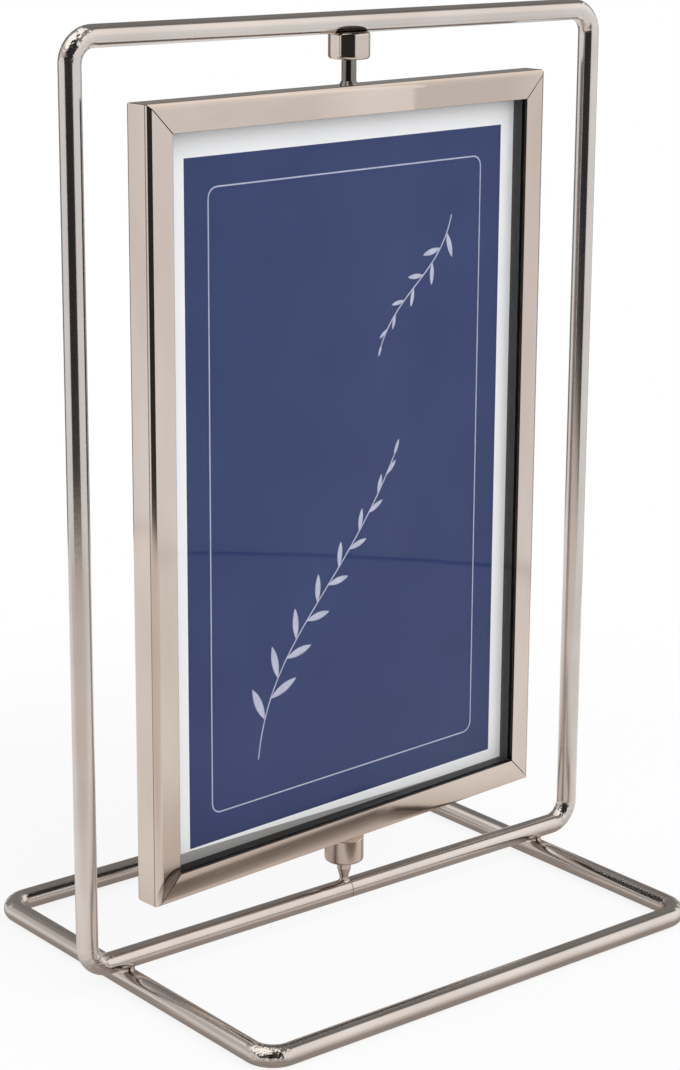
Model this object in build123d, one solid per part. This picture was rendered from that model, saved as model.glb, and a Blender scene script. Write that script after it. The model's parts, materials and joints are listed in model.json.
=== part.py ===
from build123d import *
import math
import os

# A two-sided photo frame that turns about an upright axis in a stand of bent round wire.
# Millimetres, +Z up, +Y to the rear. The origin is on the table, below the turning axis.

# Photographs, and the folded channel that frames them
photo_width = 101.6
photo_height = 152.4
rim_width = 5.75
lip_overlap = 2.6
sheet = 0.7
arris_radius = 1.4
mitre_gap = 0.2
rest_turn = 4.3

# Layers between the channel's front lip and its rear return
glass_thickness = 1.2
spacer_thickness = 2.4
spacer_setback = 0.1
print_thickness = 0.25
card_thickness = 0.2
pack_clearance = 0.35

# Corner keys and spring clips in the channel
key_leg = 18.0
key_clearance = 0.05
clip_thickness = 0.3
clip_width = 9.0
clip_reach = 4.0
clip_tuck = 1.6
clip_corner = 2.5
clip_spread = 90.0

# Wire stand
wire_dia = 4.4
bend_radius = 5.0
side_gap = 9.4
pivot_gap = 10.1
base_inset = 9.6
base_depth = 93.0
weld_gap = 0.1
weld_inset = 0.5
weld_hollow = 0.3

# Pivots: a collar with a blind bore above, and a pin that stands in it from below
collar_dia = 8.4
collar_height = 5.4
collar_round = 0.7
seated_edge_round = 0.15
collar_end_wall = 1.2
collar_seat = 0.4
pin_dia = 3.0
pin_clearance = 0.05
pin_tip_chamfer = 0.3
end_float = 0.4
thrust_gap = 0.05

# Feet of the two pins, and the rivets that hold the turning frame's pivot pieces
top_foot_dia = 3.9
top_foot_height = 0.8
neck_dia = 1.9
neck_height = 0.8
taper_height = 2.0
weld_foot_radius = 0.6
rivet_dia = 2.4
rivet_clearance = 0.05
rivet_head_dia = 4.0
rivet_head_thickness = 0.8

# Sizes that follow from those above
frame_width = photo_width + 2 * (rim_width - lip_overlap)
frame_height = photo_height + 2 * (rim_width - lip_overlap)
return_width = rim_width - lip_overlap - pack_clearance
pack_depth = 2 * glass_thickness + spacer_thickness + 2 * print_thickness + card_thickness
frame_depth = pack_depth + clip_thickness + 2 * sheet
bar_z = 1.5 * wire_dia + weld_gap
bar_top_z = bar_z + wire_dia / 2
frame_bottom_z = bar_top_z + pivot_gap
frame_top_z = frame_bottom_z + frame_height
loop_width = frame_width + 2 * side_gap + wire_dia
loop_height = frame_height + 2 * pivot_gap + wire_dia
base_width = loop_width - 2 * base_inset
collar_bore_depth = collar_height - collar_end_wall
collar_bore_dia = pin_dia + 2 * pin_clearance
top_collar_z = frame_top_z + pivot_gap + collar_seat - collar_height
bottom_collar_z = frame_bottom_z - collar_height

# Turning frame's own axes at its centre, turned a little as it stands at rest
in_frame = Pos(0, 0, frame_bottom_z + frame_height / 2) * Rot(0, 0, rest_turn)
side_angle = {"top": 0, "right": 90, "bottom": 180, "left": -90}
side_length = {"top": frame_width, "bottom": frame_width, "left": frame_height, "right": frame_height}
side_span = {"top": frame_height, "bottom": frame_height, "left": frame_width, "right": frame_width}


def wire_loop(plane, width, height):
    """Closed rectangle of round wire with bent corners, its centreline on the plane."""
    path = (plane * RectangleRounded(width, height, bend_radius)).face().outer_wire()
    section = Plane(origin=path @ 0, z_dir=path % 0) * Circle(wire_dia / 2)
    return sweep(section, path=path)


def weld_bead(x):
    """Hollow-sided bead between the upright's lower bar and a base rail, cut to both wires."""
    rim = wire_dia / 2 - weld_inset
    rise = wire_dia / 2 - math.sqrt((wire_dia / 2) ** 2 - rim**2) + weld_gap
    side = ThreePointArc((rim, rise), (rim - weld_hollow, 0), (rim, -rise))
    ends = Polyline((rim, -rise), (0, -rise), (0, rise), (rim, rise))
    bead = Pos(x, 0, wire_dia + weld_gap / 2) * revolve(Plane.XZ * make_face([side, ends]), Axis.Z)
    rail = Pos(x, 0, wire_dia / 2) * Rot(90, 0, 0) * Cylinder(wire_dia / 2, 2 * wire_dia)
    bar = Pos(x, 0, bar_z) * Rot(0, 90, 0) * Cylinder(wire_dia / 2, 2 * wire_dia)
    return bead - rail - bar


def turned(points):
    """Solid turned about Z from (radius, height) points, closed along the axis."""
    return revolve(Plane.XZ * make_face(Polyline(*points, close=True)), Axis.Z)


def collar(z, upper_round):
    """Round-edged collar, its foot at z, with a blind bore that opens downwards."""
    upwards = (Align.CENTER, Align.CENTER, Align.MIN)
    body = Cylinder(collar_dia / 2, collar_height, align=upwards)
    body = fillet(body.edges().filter_by(GeomType.CIRCLE).sort_by(Axis.Z)[0], collar_round)
    body = fillet(body.edges().filter_by(GeomType.CIRCLE).sort_by(Axis.Z)[-1], upper_round)
    bore = Cylinder(collar_bore_dia / 2, collar_bore_depth, align=upwards)
    return Pos(0, 0, z) * (body - bore)


def rivet(z, way):
    """Shank through the channel's wall from z, up or down by way's sign, and the head beyond it."""
    shank = turned([(0, 0), (rivet_dia / 2, 0), (rivet_dia / 2, way * sheet), (0, way * sheet)])
    head = turned([
        (0, way * sheet),
        (rivet_head_dia / 2, way * sheet),
        (rivet_head_dia / 2, way * (sheet + rivet_head_thickness)),
        (0, way * (sheet + rivet_head_thickness)),
    ])
    return Pos(0, 0, z) * (shank + head)


def top_pin():
    """Plain pin on the frame's top rail, which turns in the upper collar."""
    tip_z = top_collar_z + collar_bore_depth - end_float
    shaft = turned([
        (0, frame_top_z),
        (top_foot_dia / 2, frame_top_z),
        (pin_dia / 2, frame_top_z + top_foot_height),
        (pin_dia / 2, tip_z - pin_tip_chamfer),
        (pin_dia / 2 - pin_tip_chamfer, tip_z),
        (0, tip_z),
    ])
    return shaft + rivet(frame_top_z, -1)


def bottom_pin():
    """Pin on the lower bar: hollow weld round its thin neck, taper, and journal under the frame."""
    tip_z = bottom_collar_z + collar_bore_depth - thrust_gap
    neck_z = bar_top_z + neck_height
    shaft = turned([
        (0, bar_z),
        (neck_dia / 2, bar_z),
        (neck_dia / 2, neck_z),
        (pin_dia / 2, neck_z + taper_height),
        (pin_dia / 2, tip_z - pin_tip_chamfer),
        (pin_dia / 2 - pin_tip_chamfer, tip_z),
        (0, tip_z),
    ])
    bar = Pos(0, 0, bar_z) * Rot(0, 90, 0) * Cylinder(wire_dia / 2, 4 * wire_dia)
    joined = bar + shaft
    middle_z = bar_top_z + neck_height / 2
    root = [e for e in joined.edges() if bar_z < e.center().Z < middle_z and e.length < 4 * neck_dia]
    return fillet(root, weld_foot_radius) - bar


def mitred(section, side):
    """Section drawn out along one side of the frame and mitred at both ends."""
    half_length = side_length[side] / 2 - mitre_gap / math.sqrt(2)
    top = side_span[side] / 2
    wedge = Polyline(
        (-half_length - rim_width, top + rim_width),
        (half_length + rim_width, top + rim_width),
        (half_length - 2 * rim_width, top - 2 * rim_width),
        (2 * rim_width - half_length, top - 2 * rim_width),
        close=True,
    )
    bar = extrude(Plane.YZ * section, half_length + rim_width, both=True)
    ends = extrude(Plane.XZ * make_face(wedge), frame_depth, both=True)
    return Rot(0, side_angle[side], 0) * (bar & ends)


def channel(side):
    """Folded channel: front lip, outer wall and the narrower rear return."""
    top = side_span[side] / 2
    front = -frame_depth / 2 + sheet / 2
    rear = frame_depth / 2 - sheet / 2
    middle = FilletPolyline(
        (front, top - rim_width),
        (front, top - sheet / 2),
        (rear, top - sheet / 2),
        (rear, top - return_width),
        radius=arris_radius - sheet / 2,
    )
    return mitred(trace(middle, sheet), side)


def spacer(side):
    """Black strip that keeps the front print behind its glass."""
    front = -frame_depth / 2 + sheet + glass_thickness
    top = side_span[side] / 2
    width = lip_overlap - spacer_setback
    strip = Rectangle(spacer_thickness, width, align=(Align.MIN, Align.MIN))
    return mitred(Pos(front, top - rim_width + spacer_setback) * strip, side)


def corner_key(across, up):
    """Angle in the channel behind one mitre, across and up being the corner's signs."""
    inset = sheet + key_clearance
    thickness = return_width - sheet - 2 * key_clearance
    outline = Polyline(
        (0, 0),
        (-key_leg, 0),
        (-key_leg, -thickness),
        (-thickness, -thickness),
        (-thickness, -key_leg),
        (0, -key_leg),
        close=True,
    )
    angle = extrude(Plane.XZ * make_face(outline), frame_depth / 2 - inset, both=True)
    outer = angle.faces().sort_by(Axis.X)[-1].edges() + angle.faces().sort_by(Axis.Z)[-1].edges()
    angle = chamfer(outer.filter_by(Axis.Y, reverse=True), arris_radius - sheet)
    angle = Pos(frame_width / 2 - inset, 0, frame_height / 2 - inset) * angle
    if across < 0:
        angle = mirror(angle, Plane.YZ)
    if up < 0:
        angle = mirror(angle, Plane.XY)
    return angle


def clip(side, along):
    """Flat spring clip, tucked under the rear return and reaching over the rear glass."""
    pack_edge = side_span[side] / 2 - (rim_width - lip_overlap)
    plate = Rectangle(clip_width, clip_reach + clip_tuck, align=(Align.CENTER, Align.MAX))
    plate = fillet(plate.vertices().group_by(Axis.Y)[0], clip_corner)
    plate = Pos(along, pack_edge + clip_tuck) * plate
    rear = frame_depth / 2 - sheet
    return Rot(0, side_angle[side], 0) * Pos(0, rear, 0) * extrude(Plane.XZ * plate, clip_thickness)


def layer(front, thickness):
    """Flat sheet as large as a photograph, with front as its depth behind the rim's face."""
    middle = -frame_depth / 2 + front + thickness / 2
    return Pos(0, middle, 0) * Box(photo_width, thickness, photo_height)


def rivet_hole(z):
    """Drill for a rivet's shank through the channel's wall, in the frame's own axes."""
    return Pos(0, 0, z) * Cylinder(rivet_dia / 2 + rivet_clearance, 2 * rivet_dia)


parts = {}

# Stand
upright_plane = Plane((0, 0, bar_z + loop_height / 2), x_dir=(1, 0, 0), z_dir=(0, -1, 0))
upright_loop = wire_loop(upright_plane, loop_width, loop_height)
base_loop = wire_loop(Plane.XY.offset(wire_dia / 2), base_width, base_depth)
parts["upright_loop"] = upright_loop
parts["base_loop"] = base_loop
parts["left_weld"] = weld_bead(-base_width / 2)
parts["right_weld"] = weld_bead(base_width / 2)
parts["top_collar"] = collar(top_collar_z, collar_round) - upright_loop
parts["bottom_pin"] = bottom_pin()

# Channel, keys and pivot pieces of the turning frame
rails = {"top": "top_rail", "bottom": "bottom_rail", "left": "left_stile", "right": "right_stile"}
for side, name in rails.items():
    parts[name] = in_frame * channel(side)
    parts[side + "_spacer"] = in_frame * spacer(side)
parts["top_rail"] -= in_frame * rivet_hole(frame_height / 2)
parts["bottom_rail"] -= in_frame * rivet_hole(-frame_height / 2)
for up, row in ((1, "top"), (-1, "bottom")):
    for across, column in ((-1, "left"), (1, "right")):
        parts[f"{row}_{column}_corner_key"] = in_frame * corner_key(across, up)
parts["top_pin"] = top_pin()
parts["bottom_collar"] = collar(bottom_collar_z, seated_edge_round) + rivet(frame_bottom_z, 1)

# Glazing pack, from the front to the rear
pack = {
    "front_glass": glass_thickness,
    "spacers": spacer_thickness,
    "front_print": print_thickness,
    "backing_card": card_thickness,
    "rear_print": print_thickness,
    "rear_glass": glass_thickness,
}
depth = sheet
for name, thickness in pack.items():
    if name != "spacers":
        parts[name] = in_frame * layer(depth, thickness)
    depth += thickness

# Spring clips that hold the pack from the rear
parts["top_clip"] = in_frame * clip("top", 0)
parts["bottom_clip"] = in_frame * clip("bottom", 0)
for side in ("left", "right"):
    for sign, row in ((1, "upper"), (-1, "lower")):
        turn = -sign if side == "right" else sign
        parts[f"{row}_{side}_clip"] = in_frame * clip(side, turn * clip_spread / 2)

os.makedirs("parts", exist_ok=True)
for name, part in parts.items():
    export_step(part, f"parts/{name}.step")
print(len(parts), "parts", "height", frame_top_z + pivot_gap + wire_dia, "frame depth", frame_depth)
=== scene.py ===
import bmesh
import bpy
import json
import math
from mathutils import Matrix, Vector


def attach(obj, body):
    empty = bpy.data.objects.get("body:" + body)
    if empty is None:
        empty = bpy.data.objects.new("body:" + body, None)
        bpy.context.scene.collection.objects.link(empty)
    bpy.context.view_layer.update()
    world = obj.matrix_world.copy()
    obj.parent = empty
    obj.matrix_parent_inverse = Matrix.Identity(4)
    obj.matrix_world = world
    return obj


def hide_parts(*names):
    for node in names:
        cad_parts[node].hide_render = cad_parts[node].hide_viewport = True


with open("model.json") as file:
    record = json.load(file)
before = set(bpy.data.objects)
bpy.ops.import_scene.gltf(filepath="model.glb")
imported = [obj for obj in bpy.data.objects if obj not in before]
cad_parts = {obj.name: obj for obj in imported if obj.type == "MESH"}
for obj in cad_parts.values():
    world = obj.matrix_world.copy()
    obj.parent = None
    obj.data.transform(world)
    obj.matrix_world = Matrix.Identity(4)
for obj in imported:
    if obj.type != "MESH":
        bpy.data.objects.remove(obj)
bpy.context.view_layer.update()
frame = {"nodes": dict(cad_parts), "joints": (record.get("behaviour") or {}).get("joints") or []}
nodes = frame["nodes"]

# Sizes of the part, in metres, as in its solids
MM = 0.001
WIRE_DIA = 4.4 * MM
BEND_RADIUS = 5.0 * MM
LOOP_WIDTH, LOOP_HEIGHT = 131.1 * MM, 183.3 * MM
BASE_WIDTH, BASE_DEPTH = 111.9 * MM, 93.0 * MM
BAR_Z = 6.7 * MM
FRAME_CENTRE = Vector(frame["joints"][0]["pos_m"])
REST_TURN = math.radians(4.3)
FRAME_AXES = Matrix.Translation(FRAME_CENTRE) @ Matrix.Rotation(REST_TURN, 4, "Z")
OPENING_HALF_WIDTH, OPENING_HALF_HEIGHT = 48.2 * MM, 73.6 * MM
FRONT_CARD_Y, REAR_CARD_Y = 0.7 * MM, 1.4 * MM

# Printed field on both cards, from the frame's centre, and the foil on it
FIELD_LEFT, FIELD_RIGHT = -42.4 * MM, 44.5 * MM
FIELD_BOTTOM, FIELD_TOP = -71.0 * MM, 68.2 * MM
FIELD_MIDDLE = ((FIELD_LEFT + FIELD_RIGHT) / 2, (FIELD_BOTTOM + FIELD_TOP) / 2)
FIELD_SIZE = (FIELD_RIGHT - FIELD_LEFT, FIELD_TOP - FIELD_BOTTOM)
RULE_INSET = 6.0 * MM
RULE_WIDTH = 0.30 * MM
RULE_CORNER = 2.2 * MM
FOIL_THICKNESS = 0.03 * MM
LEAF_SLIMNESS = 0.26

# Grey wedge along the lower edge of the front card's white margin, tallest at its left end and tapering to nothing
# towards the right
WEDGE_ACROSS, WEDGE_UP = (-42.0 * MM, 28.2 * MM), (-71.4 * MM, -73.6 * MM)
WEDGE_GREY = (0.340, 0.335, 0.325)

# Painted dark reflection, round, at the lower left mitre, from the frame's centre: a ring that fades downwards
MITRE_REFLECTION_MIDDLE, MITRE_REFLECTION_REACH = (-48.6 * MM, -77.0 * MM), 5.1 * MM
MITRE_REFLECTION_RING, MITRE_REFLECTION_RING_SHARES = (1.3 * MM, 0.3 * MM), (0.3, 0.95)
MITRE_REFLECTION_FADE, MITRE_REFLECTION_FADE_SHARES = (-0.5 * MM, 4.2 * MM), (0.15, 1.0)
MITRE_REFLECTION_TONE = (0.060, 0.048, 0.034)

# Painted shade on top of the upper collar, where it meets the wire: above a height, and half the depth over which it
# sets in
COLLAR_SHADE_Z, COLLAR_SHADE_SOFT = BAR_Z + LOOP_HEIGHT - 2.1 * MM, 0.1 * MM

# Darkened inner edges of the channel, made near-black: a margin round the opening, and the roughness added there
DARK_EDGE_MARGIN, DARK_EDGE_ROUGH = 0.05 * MM, 0.4

# Slight crown of the bottom rail's face: height of its middle, and curvature per metre
CROWN = (20.4 * MM, 12.0)

# Butt weld that closes the upright loop, on its lower bar: its place, half width and looks
SEAM_X, SEAM_HALF = 0.9 * MM, 0.11 * MM
SEAM_SHARE, SEAM_ROUGH, SEAM_RISE = 0.7, 0.3, -0.5

# Fine creases in the wire's bends, and the share of a bend's radius over which they set in
CREASE_SCALE, CREASE_DEPTH = 900.0, 3.0e-4
BEND_FADE = 0.4

# Tints of the nickel plate, from its darker to its lighter patches
WARM = ((0.545, 0.470, 0.420), (0.640, 0.565, 0.515))
WIRE_TINT = ((0.560, 0.518, 0.492), (0.620, 0.578, 0.552))
TURNED = ((0.460, 0.395, 0.355), (0.640, 0.560, 0.510))
# Far darker copy of the nickel for the top pin alone: painted shade
SHADED_PIN_TINT = ((0.130, 0.118, 0.105), (0.210, 0.193, 0.175))
# Near-black tone of the channel's darkened inner edges and of the painted shade on the upper collar's top
NEAR_BLACK_TONE = (0.070, 0.058, 0.050)
SEAM_TONE = (0.200, 0.165, 0.140)

# Tones of the other materials, from their darker to their lighter patches
INK = ((0.022, 0.038, 0.124), (0.027, 0.045, 0.138))
MIRRORED_INK = (0.040, 0.034, 0.030)
PAPER = ((0.885, 0.888, 0.900), (0.915, 0.917, 0.927))
FOIL_TONES = ((0.40, 0.41, 0.54), (0.52, 0.53, 0.66))
SATIN_BLACK = ((0.010, 0.010, 0.011), (0.018, 0.018, 0.019))
SPRING_TONES = ((0.44, 0.45, 0.47), (0.56, 0.57, 0.59))
ZINC_TONES = ((0.36, 0.37, 0.38), (0.50, 0.51, 0.52))
PULP = ((0.74, 0.73, 0.70), (0.86, 0.85, 0.83))
GLASS_TONE, GLASS_IOR = (0.985, 0.987, 0.987, 1), 1.2

# Camera, from the photograph's straight edges
PHOTO_WIDTH, PHOTO_HEIGHT = 680, 1070
FOCAL_PX = 2612.07
CENTRE_PX = (341.87, 494.67)
CAMERA_PLACE = Vector((-0.32885, -0.40342, 0.22884))
CAMERA_YAW, CAMERA_PITCH, CAMERA_ROLL = (math.radians(a) for a in (39.086, 14.533, 0.336))
SENSOR = 36.0

# Room that the metal mirrors: degrees from the front to the right, wall, above it, sine of the wall's top
ROOM = [
    (-180, 0.22, 0.30, 0.30), (-163, 0.22, 0.30, 0.30), (-156, 1.02, 0.23, 0.72), (-85, 1.02, 0.23, 0.72),
    (-82, 0.03, 0.23, 0.79), (-7, 0.03, 0.23, 0.79), (-4, 1.0, 0.23, 0.60), (41, 1.0, 0.23, 0.78),
    (53, 1.0, 0.23, 0.82), (60, 1.0, 0.23, 0.78), (67, 1.0, 0.23, 0.69), (75, 1.0, 0.23, 0.64), (95, 1.0, 0.23, 0.60),
    (101, 1.0, 0.23, 0.48), (107, 0.22, 0.30, 0.30), (118, 0.22, 0.30, 0.30), (122, 0.74, 0.25, 0.02),
    (162, 0.74, 0.25, 0.02), (166, 0.22, 0.30, 0.30), (180, 0.22, 0.30, 0.30),
]
EDGE_SOFT = 0.03

# Gain of the wall to the left and to the right, and the sines of elevation where it starts and is full
GLOW_LEFT, GLOW_RIGHT, GLOW_CHANGE = 0.68, 1.27, 0.1
GLOW_START, GLOW_FULL = -0.05, 0.30

# Brighter stretch of the wall, which fades in and ends sharply, and the dimmer wall beside it
STRETCH_IN, STRETCH_FULL, STRETCH_END = (math.radians(a) for a in (47.0, 48.2, 49.19))
BESIDE_IN, BESIDE_OUT = (math.radians(a) for a in (51.2, 51.7))
SHARP = math.radians(0.06)
STRETCH_GAIN, BESIDE_GAIN = 1.20, 0.92

# Bright round patch of the room, high up to the left and rear
PATCH_BEARING, PATCH_HEIGHT, PATCH_SHADE = math.radians(-115), math.radians(65), 1.6
PATCH_INNER, PATCH_OUTER = math.radians(31), math.radians(37)

# Tint of the room, full from this sine of the elevation, and the even light on matte surfaces
HIGH_TINT, HIGH_FULL = (1.0, 0.96, 0.92), 0.25
AMBIENT = 0.70

# Round table: white to the camera but for some shadow, and in these tones where the metal mirrors it,
# with painted shade under the object and painted contact shadows along the base and under the lower bar
TABLE_MIDDLE, TABLE_RADIUS, TABLE_RIM = Vector((-0.07, 0, 0)), 0.344, 0.006
TABLE_KEEP = 0.86
TABLE_BRIGHT, TABLE_FRONT, TABLE_DIM_AND_SHADE = (0.98, 0.965, 0.945), (0.86, 0.845, 0.825), (0.78, 0.715, 0.665)
TABLE_CONTACT_SHADOW, TABLE_EDGE = (0.42, 0.375, 0.340), (0.16, 0.14, 0.12)
TABLE_TOWARDS, TABLE_AHEAD = (-0.766, -0.643, 0), (0.5, -0.866, 0)

# Where the table's tones, its painted shade and contact shadows, and its rendered shadow fade, in metres
TOWARDS_FADE, UNDER_FADE, AHEAD_FADE = (0.06, 0.17), (0.06, 0.115), (0.05, 0.25)
BASE_FADE, BAR_FADE, BAR_END = (0.003, 0.010), (0.006, 0.016), 0.01
SHADOW_FADE = (0.13, 0.24)

# Share of the table's own glow as the metal mirrors it, and what is added to that glow
MIRRORED_SHARE, MIRRORED_EXTRA = 0.6, 0.2

# Key lamp
KEY_PLACE, KEY_SIZE, KEY_POWER = (0.15, -0.85, 0.75), 0.9, 5.3


def make_camera():
    """Camera at the photograph's viewpoint."""
    ahead = Vector((
        math.sin(CAMERA_YAW) * math.cos(CAMERA_PITCH),
        math.cos(CAMERA_YAW) * math.cos(CAMERA_PITCH),
        -math.sin(CAMERA_PITCH),
    ))
    level = Vector((math.cos(CAMERA_YAW), -math.sin(CAMERA_YAW), 0))
    above = level.cross(ahead)
    right = level * math.cos(CAMERA_ROLL) + above * math.sin(CAMERA_ROLL)
    up = above * math.cos(CAMERA_ROLL) - level * math.sin(CAMERA_ROLL)
    data = bpy.data.cameras.new("camera")
    data.sensor_fit = "AUTO"
    data.sensor_width = SENSOR
    data.lens = FOCAL_PX * SENSOR / PHOTO_HEIGHT
    data.shift_x = (PHOTO_WIDTH / 2 - CENTRE_PX[0]) / PHOTO_HEIGHT
    data.shift_y = (CENTRE_PX[1] - PHOTO_HEIGHT / 2) / PHOTO_HEIGHT
    data.clip_start, data.clip_end = 0.01, 20.0
    camera = bpy.data.objects.new("camera", data)
    turn = Matrix((right, up, -ahead)).transposed()
    camera.matrix_world = Matrix.Translation(CAMERA_PLACE) @ turn.to_4x4()
    bpy.context.scene.collection.objects.link(camera)
    bpy.context.scene.camera = camera


# Node helpers

def add(tree, kind, inputs=None, **settings):
    """New node, its settings as attributes and its inputs set or linked by name or place."""
    node = tree.nodes.new(kind)
    for key, value in settings.items():
        setattr(node, key, value)
    for key, value in (inputs or {}).items():
        if isinstance(value, bpy.types.NodeSocket):
            tree.links.new(value, node.inputs[key])
        else:
            node.inputs[key].default_value = value
    return node


def math_node(tree, operation, *values, clamp=False):
    """Output of a Math node on numbers or sockets."""
    node = add(tree, "ShaderNodeMath", dict(enumerate(values)), operation=operation, use_clamp=clamp)
    return node.outputs[0]


def vector_node(tree, operation, *values):
    """Outputs of a Vector Math node on vectors or sockets."""
    return add(tree, "ShaderNodeVectorMath", dict(enumerate(values)), operation=operation).outputs


def map_range(tree, value, low, high, start=0.0, end=1.0, soft=False):
    """Value mapped from low and high, which may be sockets, to start and end."""
    node = add(tree, "ShaderNodeMapRange", {"Value": value, 1: low, 2: high, 3: start, 4: end})
    if soft:
        node.interpolation_type = "SMOOTHSTEP"
    return node.outputs[0]


def new_group(name, kind, inputs, outputs):
    """Node group with named sockets, and its input and output nodes."""
    tree = bpy.data.node_groups.new(name, kind)
    for label, socket, value in inputs:
        made = tree.interface.new_socket(label, in_out="INPUT", socket_type=socket)
        if value is not None:
            made.default_value = value
    for label, socket in outputs:
        tree.interface.new_socket(label, in_out="OUTPUT", socket_type=socket)
    return tree, tree.nodes.new("NodeGroupInput"), tree.nodes.new("NodeGroupOutput")


def ramp(tree, value, stops):
    """Colour ramp over a socket, with (place, colour) stops."""
    node = add(tree, "ShaderNodeValToRGB", {"Fac": value})
    elements = node.color_ramp.elements
    while len(elements) < len(stops):
        elements.new(0.5)
    for element, (place, shade) in zip(elements, stops):
        element.position = place
        element.color = (*shade, 1)
    return node.outputs["Color"]


def two_tone(tree, value, tones, low=0.3, high=0.7):
    """Colour from a darker to a lighter tone between two values of a noise."""
    return ramp(tree, value, [(low, tones[0]), (high, tones[1])])


def mix_colour(tree, fac, a, b):
    """Colour mixed from a socket or four-part colour to a socket or three-part colour."""
    node = add(tree, "ShaderNodeMix", {0: fac, 6: a}, data_type="RGBA", clamp_factor=True)
    if isinstance(b, bpy.types.NodeSocket):
        tree.links.new(b, node.inputs[7])
    else:
        node.inputs[7].default_value = (*b, 1)
    return node.outputs[2]


def noise(tree, place, scale, detail=3.0, roughness=0.55):
    """Value of a noise texture at a place."""
    node = add(tree, "ShaderNodeTexNoise", {
        "Vector": place, "Scale": scale, "Detail": detail, "Roughness": roughness})
    return node.outputs[0]


# Shader groups

def plating_group():
    """Ripple, fine polish and stain of plated metal: height, roughness and tone."""
    tree, inside, out = new_group("plating", "ShaderNodeTree", [
        ("Vector", "NodeSocketVector", None),
        ("Ripple Scale", "NodeSocketFloat", 70.0),
        ("Grain Scale", "NodeSocketFloat", 900.0),
        ("Grain", "NodeSocketFloat", 0.1),
        ("Polish", "NodeSocketFloat", 0.05),
        ("Haze", "NodeSocketFloat", 0.05),
    ], [("Height", "NodeSocketFloat"), ("Roughness", "NodeSocketFloat"), ("Tone", "NodeSocketFloat")])
    given = inside.outputs
    ripple = noise(tree, given["Vector"], given["Ripple Scale"], 2.0, 0.4)
    grain = noise(tree, given["Vector"], given["Grain Scale"], 3.0, 0.6)
    stain = noise(tree, given["Vector"], 38.0, 4.0)
    tree.links.new(math_node(tree, "MULTIPLY_ADD", grain, given["Grain"], ripple), out.inputs["Height"])
    tree.links.new(math_node(tree, "MULTIPLY_ADD", stain, given["Haze"], given["Polish"]), out.inputs["Roughness"])
    tree.links.new(stain, out.inputs["Tone"])
    return tree


def box_group():
    """Mask of an upright rectangle across and up from a middle."""
    tree, inside, out = new_group("upright_box", "ShaderNodeTree", [
        ("Vector", "NodeSocketVector", None),
        ("Middle Across", "NodeSocketFloat", 0.0),
        ("Middle Up", "NodeSocketFloat", 0.0),
        ("Half Width", "NodeSocketFloat", 0.04),
        ("Half Height", "NodeSocketFloat", 0.07),
    ], [("Mask", "NodeSocketFloat")])
    given = inside.outputs
    place = add(tree, "ShaderNodeSeparateXYZ", {0: given["Vector"]}).outputs
    masks = []
    for axis, middle, half in (("X", "Middle Across", "Half Width"), ("Z", "Middle Up", "Half Height")):
        away = math_node(tree, "ABSOLUTE", math_node(tree, "SUBTRACT", place[axis], given[middle]))
        masks.append(math_node(tree, "LESS_THAN", away, given[half]))
    tree.links.new(math_node(tree, "MULTIPLY", *masks), out.inputs["Mask"])
    return tree


plating = plating_group()
upright_box = box_group()


def box_mask(tree, place, middle, half):
    """Mask of the rectangle with this middle and these half sizes, across and up."""
    return add(tree, "ShaderNodeGroup", {
        "Vector": place, "Middle Across": middle[0], "Middle Up": middle[1],
        "Half Width": half[0], "Half Height": half[1]}, node_tree=upright_box).outputs["Mask"]


# Materials

def new_material(name, **values):
    """Material with one Principled shader, its uniform values set on its own sockets."""
    material = bpy.data.materials.new(name)
    material.use_nodes = True
    tree = material.node_tree
    shader = tree.nodes["Principled BSDF"]
    for label, value in values.items():
        shader.inputs[label.replace("_", " ")].default_value = value
    return material, tree, shader


def place_on(tree, turned=False, scale=(1, 1, 1)):
    """Object coordinates, in the turning frame's own axes where asked."""
    where = add(tree, "ShaderNodeTexCoord").outputs["Object"]
    mapping = add(tree, "ShaderNodeMapping", {"Vector": where, "Scale": scale})
    if turned:
        mapping.inputs["Rotation"].default_value = (0, 0, -REST_TURN)
        mapping.inputs["Location"].default_value = (0, 0, -FRAME_CENTRE.z)
    return mapping.outputs[0]


def bump_over(tree, shader, height, distance, strength=1.0, below=None):
    """Bump of a height in parts of a distance, over the normal below it, linked to the shader."""
    bump = add(tree, "ShaderNodeBump", {"Strength": strength, "Distance": distance, "Height": height})
    if below is not None:
        tree.links.new(below, bump.inputs["Normal"])
    tree.links.new(bump.outputs[0], shader.inputs["Normal"])
    return bump.outputs[0]


def wear_surface(tree, shader, colour, rough, height, distance, strength=1.0, below=None):
    """Links a material's colour, roughness and bump, and gives the bumped normal."""
    tree.links.new(colour, shader.inputs["Base Color"])
    tree.links.new(rough, shader.inputs["Roughness"])
    return bump_over(tree, shader, height, distance, strength, below)


def darkened_edges(tree, tone, rough):
    """Tone and roughness, near-black and rougher on the channel's inner edges."""
    half = (OPENING_HALF_WIDTH + DARK_EDGE_MARGIN, OPENING_HALF_HEIGHT + DARK_EDGE_MARGIN)
    edge_mask = box_mask(tree, place_on(tree, turned=True), (0, 0), half)
    return mix_colour(tree, edge_mask, tone, NEAR_BLACK_TONE), math_node(tree, "MULTIPLY_ADD", edge_mask, DARK_EDGE_ROUGH, rough)


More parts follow.
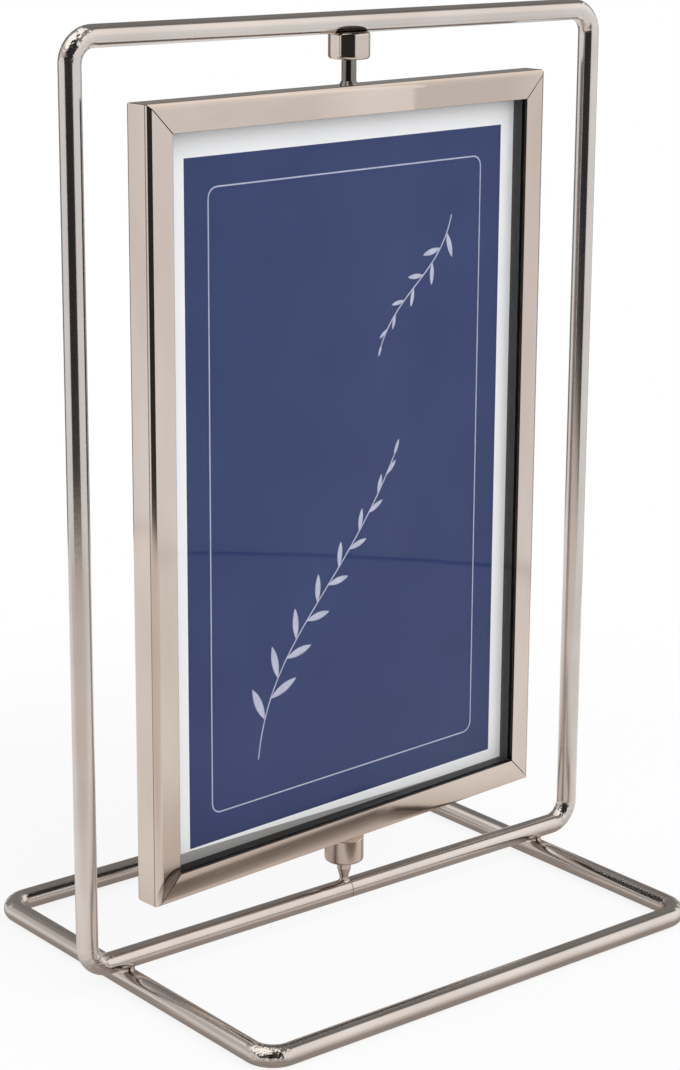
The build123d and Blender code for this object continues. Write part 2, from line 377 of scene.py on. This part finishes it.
def mitre_painted_reflection(tree, tone):
    """Tone with a round painted dark reflection at the lower left mitre."""
    at = add(tree, "ShaderNodeSeparateXYZ", {0: place_on(tree, turned=True)}).outputs
    flat = add(tree, "ShaderNodeCombineXYZ", {"X": at["X"], "Y": at["Z"]}).outputs[0]
    away = vector_node(tree, "DISTANCE", flat, (*MITRE_REFLECTION_MIDDLE, 0))["Value"]
    depths = [MITRE_REFLECTION_REACH - depth for depth in MITRE_REFLECTION_RING]
    heights = [MITRE_REFLECTION_MIDDLE[1] + height for height in MITRE_REFLECTION_FADE]
    ring = map_range(tree, away, *depths, *MITRE_REFLECTION_RING_SHARES)
    fade = map_range(tree, at["Z"], *heights, *MITRE_REFLECTION_FADE_SHARES)
    inside = math_node(tree, "LESS_THAN", away, MITRE_REFLECTION_REACH)
    dark_reflection = math_node(tree, "MULTIPLY", math_node(tree, "MULTIPLY", ring, fade), inside)
    return mix_colour(tree, dark_reflection, tone, MITRE_REFLECTION_TONE)


def weld_seam(tree):
    """Mask of the butt weld on the upright loop's lower bar."""
    seam = box_mask(tree, place_on(tree), (SEAM_X, BAR_Z), (SEAM_HALF, WIRE_DIA))
    depth = add(tree, "ShaderNodeSeparateXYZ", {0: place_on(tree)}).outputs["Y"]
    near = math_node(tree, "LESS_THAN", math_node(tree, "ABSOLUTE", depth), WIRE_DIA)
    return math_node(tree, "MULTIPLY", seam, near)


def crisp_normal(tree, share):
    """Normal with a share of its rise, so that round edges turn over a narrower strip."""
    normal = add(tree, "ShaderNodeNewGeometry").outputs["Normal"]
    flatter = vector_node(tree, "MULTIPLY", normal, (1, 1, share))[0]
    return vector_node(tree, "NORMALIZE", flatter)[0]


def nickel(name, stretch=(1, 1, 1), ripple=2.0e-5, ripple_scale=70.0, polish=0.07, tint=WARM, wire=False,
           channel=False, mitre_reflection=False, crown=None, shade_above=None, crisp=None):
    """Polished nickel plate, its ripple in metres of height. Where asked it has the wire's creases and
    weld, the channel's darkened inner edges, a painted dark reflection at the lower left mitre, a crown
    of (middle height, curvature), painted shade above a given height, and round edges made crisper by a
    share of the normal's rise."""
    material, tree, shader = new_material(name, Metallic=1.0)
    finish = add(tree, "ShaderNodeGroup", {
        "Vector": place_on(tree, scale=stretch), "Ripple Scale": ripple_scale, "Polish": polish}, node_tree=plating)
    tone = two_tone(tree, finish.outputs["Tone"], tint, 0.38, 0.62)
    rough = finish.outputs["Roughness"]
    if channel:
        tone, rough = darkened_edges(tree, tone, rough)
    # Painted dark reflection at the lower left mitre
    if mitre_reflection:
        tone = mitre_painted_reflection(tree, tone)
    if wire:
        seam = weld_seam(tree)
        tone = mix_colour(tree, math_node(tree, "MULTIPLY", seam, SEAM_SHARE), tone, SEAM_TONE)
        rough = math_node(tree, "MULTIPLY_ADD", seam, SEAM_ROUGH, rough)
    if shade_above or crown:
        rise = add(tree, "ShaderNodeSeparateXYZ", {0: place_on(tree)}).outputs["Z"]
    # Painted shade: the tone turns near-black above the given height
    if shade_above:
        painted_shade = map_range(tree, rise, shade_above - COLLAR_SHADE_SOFT, shade_above + COLLAR_SHADE_SOFT)
        tone = mix_colour(tree, painted_shade, tone, NEAR_BLACK_TONE)
    below = crisp_normal(tree, crisp) if crisp else None
    normal = wear_surface(tree, shader, tone, rough, finish.outputs["Height"], ripple, below=below)
    if wire:
        bend = add(tree, "ShaderNodeAttribute", attribute_name="bend").outputs["Fac"]
        crease = math_node(tree, "MULTIPLY", noise(tree, place_on(tree), CREASE_SCALE, 2.0, 0.5), bend)
        crease = math_node(tree, "MULTIPLY_ADD", seam, SEAM_RISE, crease)
        normal = bump_over(tree, shader, crease, CREASE_DEPTH, below=normal)
    if crown:
        middle, curve = crown
        away = math_node(tree, "ABSOLUTE", math_node(tree, "SUBTRACT", rise, middle))
        bow = math_node(tree, "MULTIPLY", math_node(tree, "POWER", away, 2.0), -0.5 * curve)
        bump_over(tree, shader, bow, 1.0, below=normal)
    return material


def glass():
    """Clear picture glass that lets the light through to the card behind it."""
    material, tree, shader = new_material(
        "picture_glass", Base_Color=(1, 1, 1, 1), Roughness=0.0, IOR=GLASS_IOR, Transmission_Weight=1.0)
    path = add(tree, "ShaderNodeLightPath").outputs
    clear = add(tree, "ShaderNodeBsdfTransparent", {0: GLASS_TONE})
    either = math_node(tree, "MAXIMUM", path["Is Shadow Ray"], path["Is Diffuse Ray"])
    mix = add(tree, "ShaderNodeMixShader", {0: either, 1: shader.outputs[0], 2: clear.outputs[0]})
    tree.links.new(mix.outputs[0], tree.nodes["Material Output"].inputs["Surface"])
    return material


def printed_card(name, grey_wedge=False):
    """White satin paper with a deep blue field, dark and neutral as the metal mirrors it, and a grey
    wedge along its lower edge where asked."""
    material, tree, shader = new_material(name, Specular_IOR_Level=0.05)
    place = place_on(tree, turned=True)
    field = box_mask(tree, place, FIELD_MIDDLE, (FIELD_SIZE[0] / 2, FIELD_SIZE[1] / 2))
    mottle = noise(tree, place, 60.0, 2.0, 0.5)
    ink = two_tone(tree, mottle, INK)
    mirrored = math_node(tree, "MINIMUM", add(tree, "ShaderNodeLightPath").outputs["Glossy Depth"], 1.0)
    ink = mix_colour(tree, mirrored, ink, MIRRORED_INK)
    paper = two_tone(tree, mottle, PAPER)
    if grey_wedge:
        at = add(tree, "ShaderNodeSeparateXYZ", {0: place}).outputs
        edge = map_range(tree, at["X"], *WEDGE_ACROSS, *WEDGE_UP)
        wedge = math_node(tree, "LESS_THAN", at["Z"], edge)
        paper = mix_colour(tree, wedge, paper, WEDGE_GREY)
    fibre = noise(tree, place, 400.0, 2.0, 0.5)
    tone = mix_colour(tree, field, paper, ink)
    wear_surface(tree, shader, tone, map_range(tree, fibre, 0, 1, 0.42, 0.55), fibre, 0.3e-5, 0.2)
    return material


def pale_foil():
    """Pale silver print on the blue field."""
    material, tree, shader = new_material("pale_foil", Specular_IOR_Level=0.4)
    speck = noise(tree, place_on(tree), 700.0)
    tone = two_tone(tree, speck, FOIL_TONES)
    wear_surface(tree, shader, tone, map_range(tree, speck, 0, 1, 0.3, 0.45), speck, 0.4e-5, 0.3)
    return material


def black_strip(name, shine):
    """Satin black spacer strip."""
    material, tree, shader = new_material(name, Specular_IOR_Level=shine)
    speck = noise(tree, place_on(tree), 420.0, 4.0)
    tone = two_tone(tree, speck, SATIN_BLACK)
    wear_surface(tree, shader, tone, map_range(tree, speck, 0, 1, 0.28, 0.42), speck, 1.0e-5, 0.3)
    return material


def rolled_steel(name, tones, stretch):
    """Bright rolled steel with drawn-out grain."""
    material, tree, shader = new_material(name, Metallic=1.0)
    finish = add(tree, "ShaderNodeGroup", {
        "Vector": place_on(tree, turned=True, scale=stretch), "Polish": 0.2, "Haze": 0.2, "Grain": 0.4},
        node_tree=plating)
    tone = two_tone(tree, finish.outputs["Tone"], tones)
    wear_surface(tree, shader, tone, finish.outputs["Roughness"], finish.outputs["Height"], 2.0e-5)
    return material


def pulp_card():
    """Pulp-grained backing card."""
    material, tree, shader = new_material("backing_card", Specular_IOR_Level=0.2)
    fibre = noise(tree, place_on(tree), 900.0, 5.0)
    tone = two_tone(tree, fibre, PULP)
    wear_surface(tree, shader, tone, map_range(tree, fibre, 0, 1, 0.7, 0.9), fibre, 2.0e-5, 0.4)
    return material


wire_nickel = nickel("wire_nickel", ripple=1.2e-5, polish=0.14, tint=WIRE_TINT, wire=True)
# The stiles carry the painted dark reflection at the lower left mitre
stile_nickel = nickel("stile_nickel", stretch=(1, 1, 0.25), channel=True, mitre_reflection=True)
rail_nickel = nickel("rail_nickel", stretch=(0.25, 1, 1), ripple=1.0e-5, polish=0.0, channel=True, crisp=0.25)
low_rail_nickel = nickel("low_rail_nickel", stretch=(0.25, 1, 1), channel=True, crown=CROWN, crisp=0.1)
turned_nickel = nickel("turned_nickel", stretch=(5, 5, 0.5), ripple=0.6e-5, ripple_scale=60.0, tint=TURNED)
# The upper collar carries painted shade on its top
collar_nickel = nickel("collar_nickel", stretch=(1, 1, 3), ripple=0.6e-5, ripple_scale=260.0, shade_above=COLLAR_SHADE_Z)
# The top pin's far darker tint is painted shade
shaded_pin_nickel = nickel(
    "shaded_pin_nickel", stretch=(5, 5, 0.5), ripple=1.2e-5, ripple_scale=90.0, polish=0.1, tint=SHADED_PIN_TINT)
bead_nickel = nickel("bead_nickel", ripple=4.0e-5, ripple_scale=420.0, polish=0.1)
foil = pale_foil()
strip, low_strip = black_strip("black_strip", 0.4), black_strip("low_strip", 0.12)
pane = glass()
spring_steel = rolled_steel("spring_steel", SPRING_TONES, (3, 1, 0.3))
zinc_steel = rolled_steel("zinc_steel", ZINC_TONES, (1, 1, 1))

finishes = {
    "left_weld": bead_nickel, "right_weld": bead_nickel,
    "top_collar": collar_nickel, "bottom_collar": turned_nickel,
    "top_pin": shaded_pin_nickel, "bottom_pin": turned_nickel,
    "top_rail": rail_nickel, "bottom_rail": low_rail_nickel,
    "left_stile": stile_nickel, "right_stile": stile_nickel,
    "front_glass": pane, "rear_glass": pane,
    "front_print": printed_card("front_card", grey_wedge=True), "rear_print": printed_card("rear_card"),
    "backing_card": pulp_card(),
}
for name in nodes:
    if name.endswith("_spacer"):
        finishes[name] = low_strip if name == "bottom_spacer" else strip
    elif name.endswith("_clip"):
        finishes[name] = spring_steel
    elif name.endswith("_corner_key"):
        finishes[name] = zinc_steel
for name, material in finishes.items():
    nodes[name].material_slots[0].material = material


# Pieces made by geometry nodes

def finish_tree(tree, out, given, geometry):
    """Ends a tree: turned and put in place, smooth, made real, and given its finish."""
    placed = add(tree, "GeometryNodeTransform", {
        "Geometry": geometry, "Rotation": given["Turn"], "Translation": given["Place"]})
    smooth = add(tree, "GeometryNodeSetShadeSmooth", {0: placed.outputs[0]})
    real = add(tree, "GeometryNodeRealizeInstances", {0: smooth.outputs[0]})
    done = add(tree, "GeometryNodeSetMaterial", {"Geometry": real.outputs[0], "Material": given["Finish"]})
    tree.links.new(done.outputs[0], out.inputs["Geometry"])


PLACING = [
    ("Place", "NodeSocketVector", None), ("Turn", "NodeSocketRotation", None), ("Finish", "NodeSocketMaterial", None)]


def loop_tree():
    """Closed rounded rectangle of wire, its bends marked for the finish."""
    tree, inside, out = new_group("wire_loop", "GeometryNodeTree", [
        ("Width", "NodeSocketFloat", 0.1),
        ("Height", "NodeSocketFloat", 0.1),
        ("Bend Radius", "NodeSocketFloat", 0.005),
        ("Bend Steps", "NodeSocketInt", 18),
        ("Wire Diameter", "NodeSocketFloat", 0.004),
        ("Round Steps", "NodeSocketInt", 48),
        ("Flatten", "NodeSocketFloat", 1.0),
    ] + PLACING, [("Geometry", "NodeSocketGeometry")])
    given = inside.outputs
    path = add(tree, "GeometryNodeCurvePrimitiveQuadrilateral", {"Width": given["Width"], "Height": given["Height"]})
    bent = add(tree, "GeometryNodeFilletCurve", {
        "Curve": path.outputs[0], "Count": given["Bend Steps"], "Radius": given["Bend Radius"],
        "Limit Radius": True}, mode="POLY")
    radius = math_node(tree, "MULTIPLY", given["Wire Diameter"], 0.5)
    section = add(tree, "GeometryNodeCurvePrimitiveCircle", {"Resolution": given["Round Steps"], "Radius": radius})
    wire = add(tree, "GeometryNodeCurveToMesh", {"Curve": bent.outputs[0], "Profile Curve": section.outputs[0]})
    where = add(tree, "ShaderNodeSeparateXYZ", {0: add(tree, "GeometryNodeInputPosition").outputs[0]}).outputs
    past = []
    for axis, size in (("X", "Width"), ("Y", "Height")):
        less = math_node(tree, "MULTIPLY", given["Bend Radius"], -1.0)
        straight = math_node(tree, "MULTIPLY_ADD", given[size], 0.5, less)
        past.append(math_node(tree, "SUBTRACT", math_node(tree, "ABSOLUTE", where[axis]), straight))
    inner = math_node(tree, "MINIMUM", *past)
    reach = math_node(tree, "MULTIPLY", given["Bend Radius"], BEND_FADE)
    bend = math_node(tree, "DIVIDE", inner, reach, clamp=True)
    marked = add(tree, "GeometryNodeStoreNamedAttribute", {
        "Geometry": wire.outputs[0], "Name": "bend", "Value": bend}, data_type="FLOAT", domain="POINT")
    thin = add(tree, "ShaderNodeCombineXYZ", {"X": 1.0, "Y": 1.0, "Z": given["Flatten"]})
    flat = add(tree, "GeometryNodeTransform", {"Geometry": marked.outputs[0], "Scale": thin.outputs[0]})
    finish_tree(tree, out, given, flat.outputs[0])
    return tree


def spray_tree():
    """Leafy stem along a curve, its leaves on alternating sides and smaller towards the tip."""
    tree, inside, out = new_group("leaf_spray", "GeometryNodeTree", [
        ("Start", "NodeSocketVector", None),
        ("Start Handle", "NodeSocketVector", None),
        ("End Handle", "NodeSocketVector", None),
        ("End", "NodeSocketVector", None),
        ("Leaves", "NodeSocketInt", 11),
        ("Leaf Length", "NodeSocketFloat", 0.006),
        ("Leaf Width", "NodeSocketFloat", 0.0016),
        ("Spread", "NodeSocketFloat", 0.75),
        ("Tip Size", "NodeSocketFloat", 0.45),
        ("Bare Stem", "NodeSocketFloat", 0.12),
        ("Stem Width", "NodeSocketFloat", 0.0003),
        ("Thickness", "NodeSocketFloat", 0.00003),
    ] + PLACING, [("Geometry", "NodeSocketGeometry")])
    given = inside.outputs
    curve = add(tree, "GeometryNodeCurvePrimitiveBezierSegment", {
        "Resolution": 48, "Start": given["Start"], "Start Handle": given["Start Handle"],
        "End Handle": given["End Handle"], "End": given["End"]}, mode="POSITION").outputs[0]
    half = math_node(tree, "MULTIPLY", given["Stem Width"], 0.5)
    section = add(tree, "GeometryNodeCurvePrimitiveCircle", {"Resolution": 8, "Radius": half})
    stem = add(tree, "GeometryNodeCurveToMesh", {
        "Curve": curve, "Profile Curve": section.outputs[0], "Fill Caps": True})
    thin = add(tree, "ShaderNodeCombineXYZ", {
        "X": 1.0, "Y": 1.0, "Z": math_node(tree, "DIVIDE", given["Thickness"], given["Stem Width"])})
    stem = add(tree, "GeometryNodeTransform", {"Geometry": stem.outputs[0], "Scale": thin.outputs[0]})

    # One leaf: a ball drawn out along X, pointed at both ends and pressed flat
    ball = add(tree, "GeometryNodeMeshUVSphere", {"Segments": 8, "Rings": 8, "Radius": 1.0})
    at = add(tree, "ShaderNodeSeparateXYZ", {0: add(tree, "GeometryNodeInputPosition").outputs[0]}).outputs
    square = math_node(tree, "POWER", at["Z"], 2.0)
    point = math_node(tree, "SQRT", math_node(tree, "SUBTRACT", 1.0, square, clamp=True))
    sizes = {}
    for axis, source, size in (("Y", "X", "Leaf Width"), ("Z", "Y", "Thickness")):
        side = math_node(tree, "MULTIPLY", math_node(tree, "MULTIPLY", at[source], point), 0.5)
        sizes[axis] = math_node(tree, "MULTIPLY", side, given[size])
    ahead = math_node(tree, "MULTIPLY_ADD", at["Z"], 0.5, 0.5)
    sizes["X"] = math_node(tree, "MULTIPLY", ahead, given["Leaf Length"])
    shape = add(tree, "ShaderNodeCombineXYZ", sizes)
    leaf = add(tree, "GeometryNodeSetPosition", {"Geometry": ball.outputs[0], "Position": shape.outputs[0]})

    # Leaves along the stem
    leafy = add(tree, "GeometryNodeTrimCurve", {0: curve, 2: given["Bare Stem"], 3: 1.0}, mode="FACTOR")
    spots = add(tree, "GeometryNodeCurveToPoints", {
        "Curve": leafy.outputs[0], "Count": given["Leaves"]}, mode="COUNT")
    index = add(tree, "GeometryNodeInputIndex").outputs[0]
    along = math_node(tree, "DIVIDE", index, math_node(tree, "SUBTRACT", given["Leaves"], 1.0))
    side = math_node(tree, "MULTIPLY_ADD", math_node(tree, "MODULO", index, 2.0), -2.0, 1.0)
    way = add(tree, "ShaderNodeSeparateXYZ", {0: spots.outputs["Tangent"]}).outputs
    heading = math_node(tree, "ARCTAN2", way["Y"], way["X"])
    closing = math_node(tree, "MULTIPLY_ADD", math_node(tree, "POWER", along, 3.0), -0.85, 1.0)
    opening = math_node(tree, "MULTIPLY", math_node(tree, "MULTIPLY", given["Spread"], closing), side)
    angle = add(tree, "ShaderNodeCombineXYZ", {"Z": math_node(tree, "ADD", heading, opening)})
    turn = add(tree, "FunctionNodeEulerToRotation", {0: angle.outputs[0]})
    less = math_node(tree, "MULTIPLY", along, math_node(tree, "SUBTRACT", given["Tip Size"], 1.0))
    size = math_node(tree, "ADD", less, 1.0)
    leaves = add(tree, "GeometryNodeInstanceOnPoints", {
        "Points": spots.outputs[0], "Instance": leaf.outputs[0], "Rotation": turn.outputs[0], "Scale": size})
    both = add(tree, "GeometryNodeJoinGeometry")
    for part in (leaves, stem):
        tree.links.new(part.outputs[0], both.inputs[0])
    finish_tree(tree, out, given, both.outputs[0])
    return tree


def grow(name, tree, **values):
    """Plain mesh object of what the tree makes from these inputs."""
    carrier = bpy.data.objects.new(name + "_maker", bpy.data.meshes.new(name + "_maker"))
    bpy.context.scene.collection.objects.link(carrier)
    modifier = carrier.modifiers.new("make", "NODES")
    modifier.node_group = tree
    sockets = {item.name: item.identifier for item in tree.interface.items_tree if item.in_out == "INPUT"}
    for label, value in values.items():
        modifier[sockets[label.replace("_", " ")]] = value
    graph = bpy.context.evaluated_depsgraph_get()
    graph.update()
    mesh = bpy.data.meshes.new_from_object(carrier.evaluated_get(graph), depsgraph=graph)
    bpy.data.objects.remove(carrier)
    mesh.name = name
    shell = bmesh.new()
    shell.from_mesh(mesh)
    bmesh.ops.remove_doubles(shell, verts=shell.verts, dist=1e-7)
    bmesh.ops.recalc_face_normals(shell, faces=shell.faces)
    shell.to_mesh(mesh)
    shell.free()
    piece = bpy.data.objects.new(name, mesh)
    bpy.context.scene.collection.objects.link(piece)
    return piece


wire_loop = loop_tree()
leaf_spray = spray_tree()

upright = grow(
    "upright_wire", wire_loop, Width=LOOP_WIDTH, Height=LOOP_HEIGHT, Bend_Radius=BEND_RADIUS,
    Wire_Diameter=WIRE_DIA, Place=(0, 0, BAR_Z + LOOP_HEIGHT / 2), Turn=(math.pi / 2, 0, 0), Finish=wire_nickel)
base = grow(
    "base_wire", wire_loop, Width=BASE_WIDTH, Height=BASE_DEPTH, Bend_Radius=BEND_RADIUS,
    Wire_Diameter=WIRE_DIA, Place=(0, 0, WIRE_DIA / 2), Finish=wire_nickel)
for piece, node in ((upright, "upright_loop"), (base, "base_loop")):
    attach(piece, "stand")
    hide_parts(node)

# Foil on the cards: a rule, and sprays of (start, handles, end, leaves, leaf) in mm from the field's middle
SIDES = {
    "front": (FRONT_CARD_Y, REST_TURN, [
        ((-25, -55), (-22, -30), (-2, -24), (13, 3), 15, 8.0),
        ((29, 52), (26, 40), (14, 38), (9, 27), 9, 5.6),
    ]),
    "rear": (REAR_CARD_Y, REST_TURN + math.pi, [
        ((0, -21), (24, -18), (26, 12), (7, 21), 13, 7.0),
        ((0, -21), (-24, -18), (-26, 12), (-7, 21), 13, 7.0),
    ]),
}
for side, (card_y, turn, sprays) in SIDES.items():
    face = (math.pi / 2, 0, turn)
    middle = FRAME_AXES @ Vector((FIELD_MIDDLE[0], card_y, FIELD_MIDDLE[1]))
    pieces = [grow(
        side + "_rule", wire_loop, Width=FIELD_SIZE[0] - 2 * RULE_INSET, Height=FIELD_SIZE[1] - 2 * RULE_INSET,
        Bend_Radius=RULE_CORNER, Bend_Steps=6, Wire_Diameter=RULE_WIDTH, Round_Steps=8,
        Flatten=FOIL_THICKNESS / RULE_WIDTH, Place=middle, Turn=face, Finish=foil)]
    for number, (start, first, second, end, leaves, length) in enumerate(sprays, 1):
        places = [Vector((x, y, 0)) * MM for x, y in (start, first, second, end)]
        pieces.append(grow(
            f"{side}_spray_{number}", leaf_spray, Start=places[0], Start_Handle=places[1], End_Handle=places[2],
            End=places[3], Leaves=leaves, Leaf_Length=length * MM, Leaf_Width=LEAF_SLIMNESS * length * MM,
            Thickness=FOIL_THICKNESS, Place=middle, Turn=face, Finish=foil))
    for piece in pieces:
        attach(piece, "turning_frame")


# Stage

def make_floor():
    """Round table that keeps a light shadow near the object and is white to the camera further out; where
    the metal mirrors it, it has painted shade under the object and painted contact shadows by the wires.
    """
    mesh = bpy.data.meshes.new("floor")
    disc = bmesh.new()
    bmesh.ops.create_circle(
        disc, cap_ends=True, segments=180, radius=TABLE_RADIUS, matrix=Matrix.Translation(TABLE_MIDDLE))
    disc.to_mesh(mesh)
    disc.free()
    floor = bpy.data.objects.new("floor", mesh)
    bpy.context.scene.collection.objects.link(floor)
    material = bpy.data.materials.new("pale_table")
    material.use_nodes = True
    tree = material.node_tree
    tree.nodes.remove(tree.nodes["Principled BSDF"])
    where = add(tree, "ShaderNodeTexCoord").outputs["Object"]

    def measure(operation, other):
        return vector_node(tree, operation, where, other)["Value"]

    path = add(tree, "ShaderNodeLightPath").outputs
    mirrored = path["Is Glossy Ray"]
    # Painted shade under the object, and the table dimmer towards the camera
    dim_and_shade = math_node(
        tree, "MAXIMUM", map_range(tree, measure("DOT_PRODUCT", TABLE_TOWARDS), *TOWARDS_FADE, soft=True),
        map_range(tree, measure("LENGTH", (0, 0, 0)), *UNDER_FADE, 1.0, 0.0, soft=True))
    rim = map_range(tree, measure("DISTANCE", TABLE_MIDDLE), TABLE_RADIUS - TABLE_RIM, TABLE_RADIUS - 0.5 * TABLE_RIM)
    ahead = map_range(tree, measure("DOT_PRODUCT", TABLE_AHEAD), *AHEAD_FADE, soft=True)
    at = add(tree, "ShaderNodeSeparateXYZ", {0: where}).outputs
    across, deep = math_node(tree, "ABSOLUTE", at["X"]), math_node(tree, "ABSOLUTE", at["Y"])
    # Painted contact shadows along the base's wires and under the upright's lower bar
    past = math_node(
        tree, "MAXIMUM", math_node(tree, "SUBTRACT", across, BASE_WIDTH / 2),
        math_node(tree, "SUBTRACT", deep, BASE_DEPTH / 2))
    base_contact_shadow = map_range(tree, math_node(tree, "ABSOLUTE", past), *BASE_FADE, 1.0, 0.0, soft=True)
    bar_contact_shadow = math_node(
        tree, "MULTIPLY", map_range(tree, deep, *BAR_FADE, 1.0, 0.0, soft=True),
        map_range(tree, across, LOOP_WIDTH / 2, LOOP_WIDTH / 2 + BAR_END, 1.0, 0.0))
    image = mix_colour(tree, ahead, (*TABLE_BRIGHT, 1), TABLE_FRONT)
    image = mix_colour(tree, dim_and_shade, image, TABLE_DIM_AND_SHADE)
    image = mix_colour(tree, math_node(tree, "MAXIMUM", base_contact_shadow, bar_contact_shadow), image, TABLE_CONTACT_SHADOW)
    image = mix_colour(tree, rim, image, TABLE_EDGE)
    colour = mix_colour(tree, mirrored, (1, 1, 1, 1), image)
    keep = map_range(tree, measure("LENGTH", (0, 0, 0)), *SHADOW_FADE, TABLE_KEEP, 1.0, soft=True)
    seen = math_node(tree, "MAXIMUM", path["Is Camera Ray"], path["Is Transmission Ray"])
    share = math_node(tree, "MULTIPLY_ADD", mirrored, MIRRORED_SHARE, math_node(tree, "MULTIPLY", keep, seen))
    pale = add(tree, "ShaderNodeBsdfDiffuse", {0: colour})
    strength = math_node(tree, "MULTIPLY_ADD", mirrored, MIRRORED_EXTRA, 1.0)
    white = add(tree, "ShaderNodeEmission", {0: colour, 1: strength})
    mix = add(tree, "ShaderNodeMixShader", {0: share, 1: pale.outputs[0], 2: white.outputs[0]})
    tree.links.new(mix.outputs[0], tree.nodes["Material Output"].inputs["Surface"])
    mesh.materials.append(material)


def make_world():
    """Even ambient light, a white background, and the room that the polished metal mirrors."""
    world = bpy.data.worlds.new("studio")
    bpy.context.scene.world = world
    world.use_nodes = True
    tree = world.node_tree
    ambient = tree.nodes["Background"]
    ambient.inputs["Color"].default_value = (1, 1, 1, 1)
    ambient.inputs["Strength"].default_value = AMBIENT
    towards = add(tree, "ShaderNodeTexCoord").outputs["Generated"]
    way = add(tree, "ShaderNodeSeparateXYZ", {0: towards}).outputs
    bearing = math_node(tree, "ARCTAN2", way["X"], math_node(tree, "MULTIPLY", way["Y"], -1.0))
    around = math_node(tree, "MULTIPLY_ADD", bearing, 1 / (2 * math.pi), 0.5)
    stops = [((degrees + 180) / 360, (wall, above, edge)) for degrees, wall, above, edge in ROOM]
    room = add(tree, "ShaderNodeSeparateColor", {0: ramp(tree, around, stops)}).outputs
    edge = room["Blue"]
    full = map_range(tree, way["X"], -GLOW_CHANGE, GLOW_CHANGE, GLOW_LEFT, GLOW_RIGHT)
    glow = map_range(tree, way["Z"], GLOW_START, GLOW_FULL, 1.0, full)
    stretch = map_range(tree, bearing, STRETCH_IN, STRETCH_FULL, 1.0, STRETCH_GAIN)
    beside = map_range(tree, bearing, BESIDE_IN, BESIDE_OUT, BESIDE_GAIN, 1.0)
    ended = map_range(tree, bearing, STRETCH_END, STRETCH_END + SHARP)
    gain = add(tree, "ShaderNodeMix", {0: ended, 2: stretch, 3: beside}).outputs[0]
    wall = math_node(tree, "MULTIPLY", math_node(tree, "MULTIPLY", room["Red"], glow), gain)
    over = map_range(
        tree, way["Z"], math_node(tree, "SUBTRACT", edge, EDGE_SOFT), math_node(tree, "ADD", edge, EDGE_SOFT))
    shade = add(tree, "ShaderNodeMix", {0: over, 2: wall, 3: room["Green"]}).outputs[0]
    patch = Vector((
        math.sin(PATCH_BEARING) * math.cos(PATCH_HEIGHT),
        -math.cos(PATCH_BEARING) * math.cos(PATCH_HEIGHT),
        math.sin(PATCH_HEIGHT)))
    facing = vector_node(tree, "DOT_PRODUCT", towards, patch)["Value"]
    spot = map_range(tree, facing, math.cos(PATCH_OUTER), math.cos(PATCH_INNER))
    shade = add(tree, "ShaderNodeMix", {0: spot, 2: shade, 3: PATCH_SHADE}).outputs[0]
    tint = mix_colour(tree, map_range(tree, way["Z"], 0.0, HIGH_FULL), (1, 1, 1, 1), HIGH_TINT)
    mirrored = add(tree, "ShaderNodeBackground", {"Color": tint, "Strength": shade})
    white = add(tree, "ShaderNodeBackground", {"Color": (1, 1, 1, 1), "Strength": 1.0})
    path = add(tree, "ShaderNodeLightPath").outputs
    glossy = add(tree, "ShaderNodeMixShader", {
        0: path["Is Glossy Ray"], 1: ambient.outputs[0], 2: mirrored.outputs[0]})
    seen = math_node(tree, "MAXIMUM", path["Is Camera Ray"], path["Is Transmission Ray"])
    final = add(tree, "ShaderNodeMixShader", {0: seen, 1: glossy.outputs[0], 2: white.outputs[0]})
    tree.links.new(final.outputs[0], tree.nodes["World Output"].inputs["Surface"])


def make_lamp(name, place, size, power):
    """Soft square lamp that faces the object and isn't mirrored in it."""
    data = bpy.data.lights.new(name, "AREA")
    data.shape = "SQUARE"
    data.size = size
    data.energy = power
    lamp = bpy.data.objects.new(name, data)
    lamp.location = place
    lamp.rotation_mode = "QUATERNION"
    lamp.rotation_quaternion = (FRAME_CENTRE - Vector(place)).to_track_quat("-Z", "Y")
    lamp.visible_glossy = False
    lamp.visible_camera = False
    bpy.context.scene.collection.objects.link(lamp)


make_camera()
make_floor()
make_world()
make_lamp("key_lamp", KEY_PLACE, KEY_SIZE, KEY_POWER)
bpy.context.scene.view_settings.view_transform = "Standard"
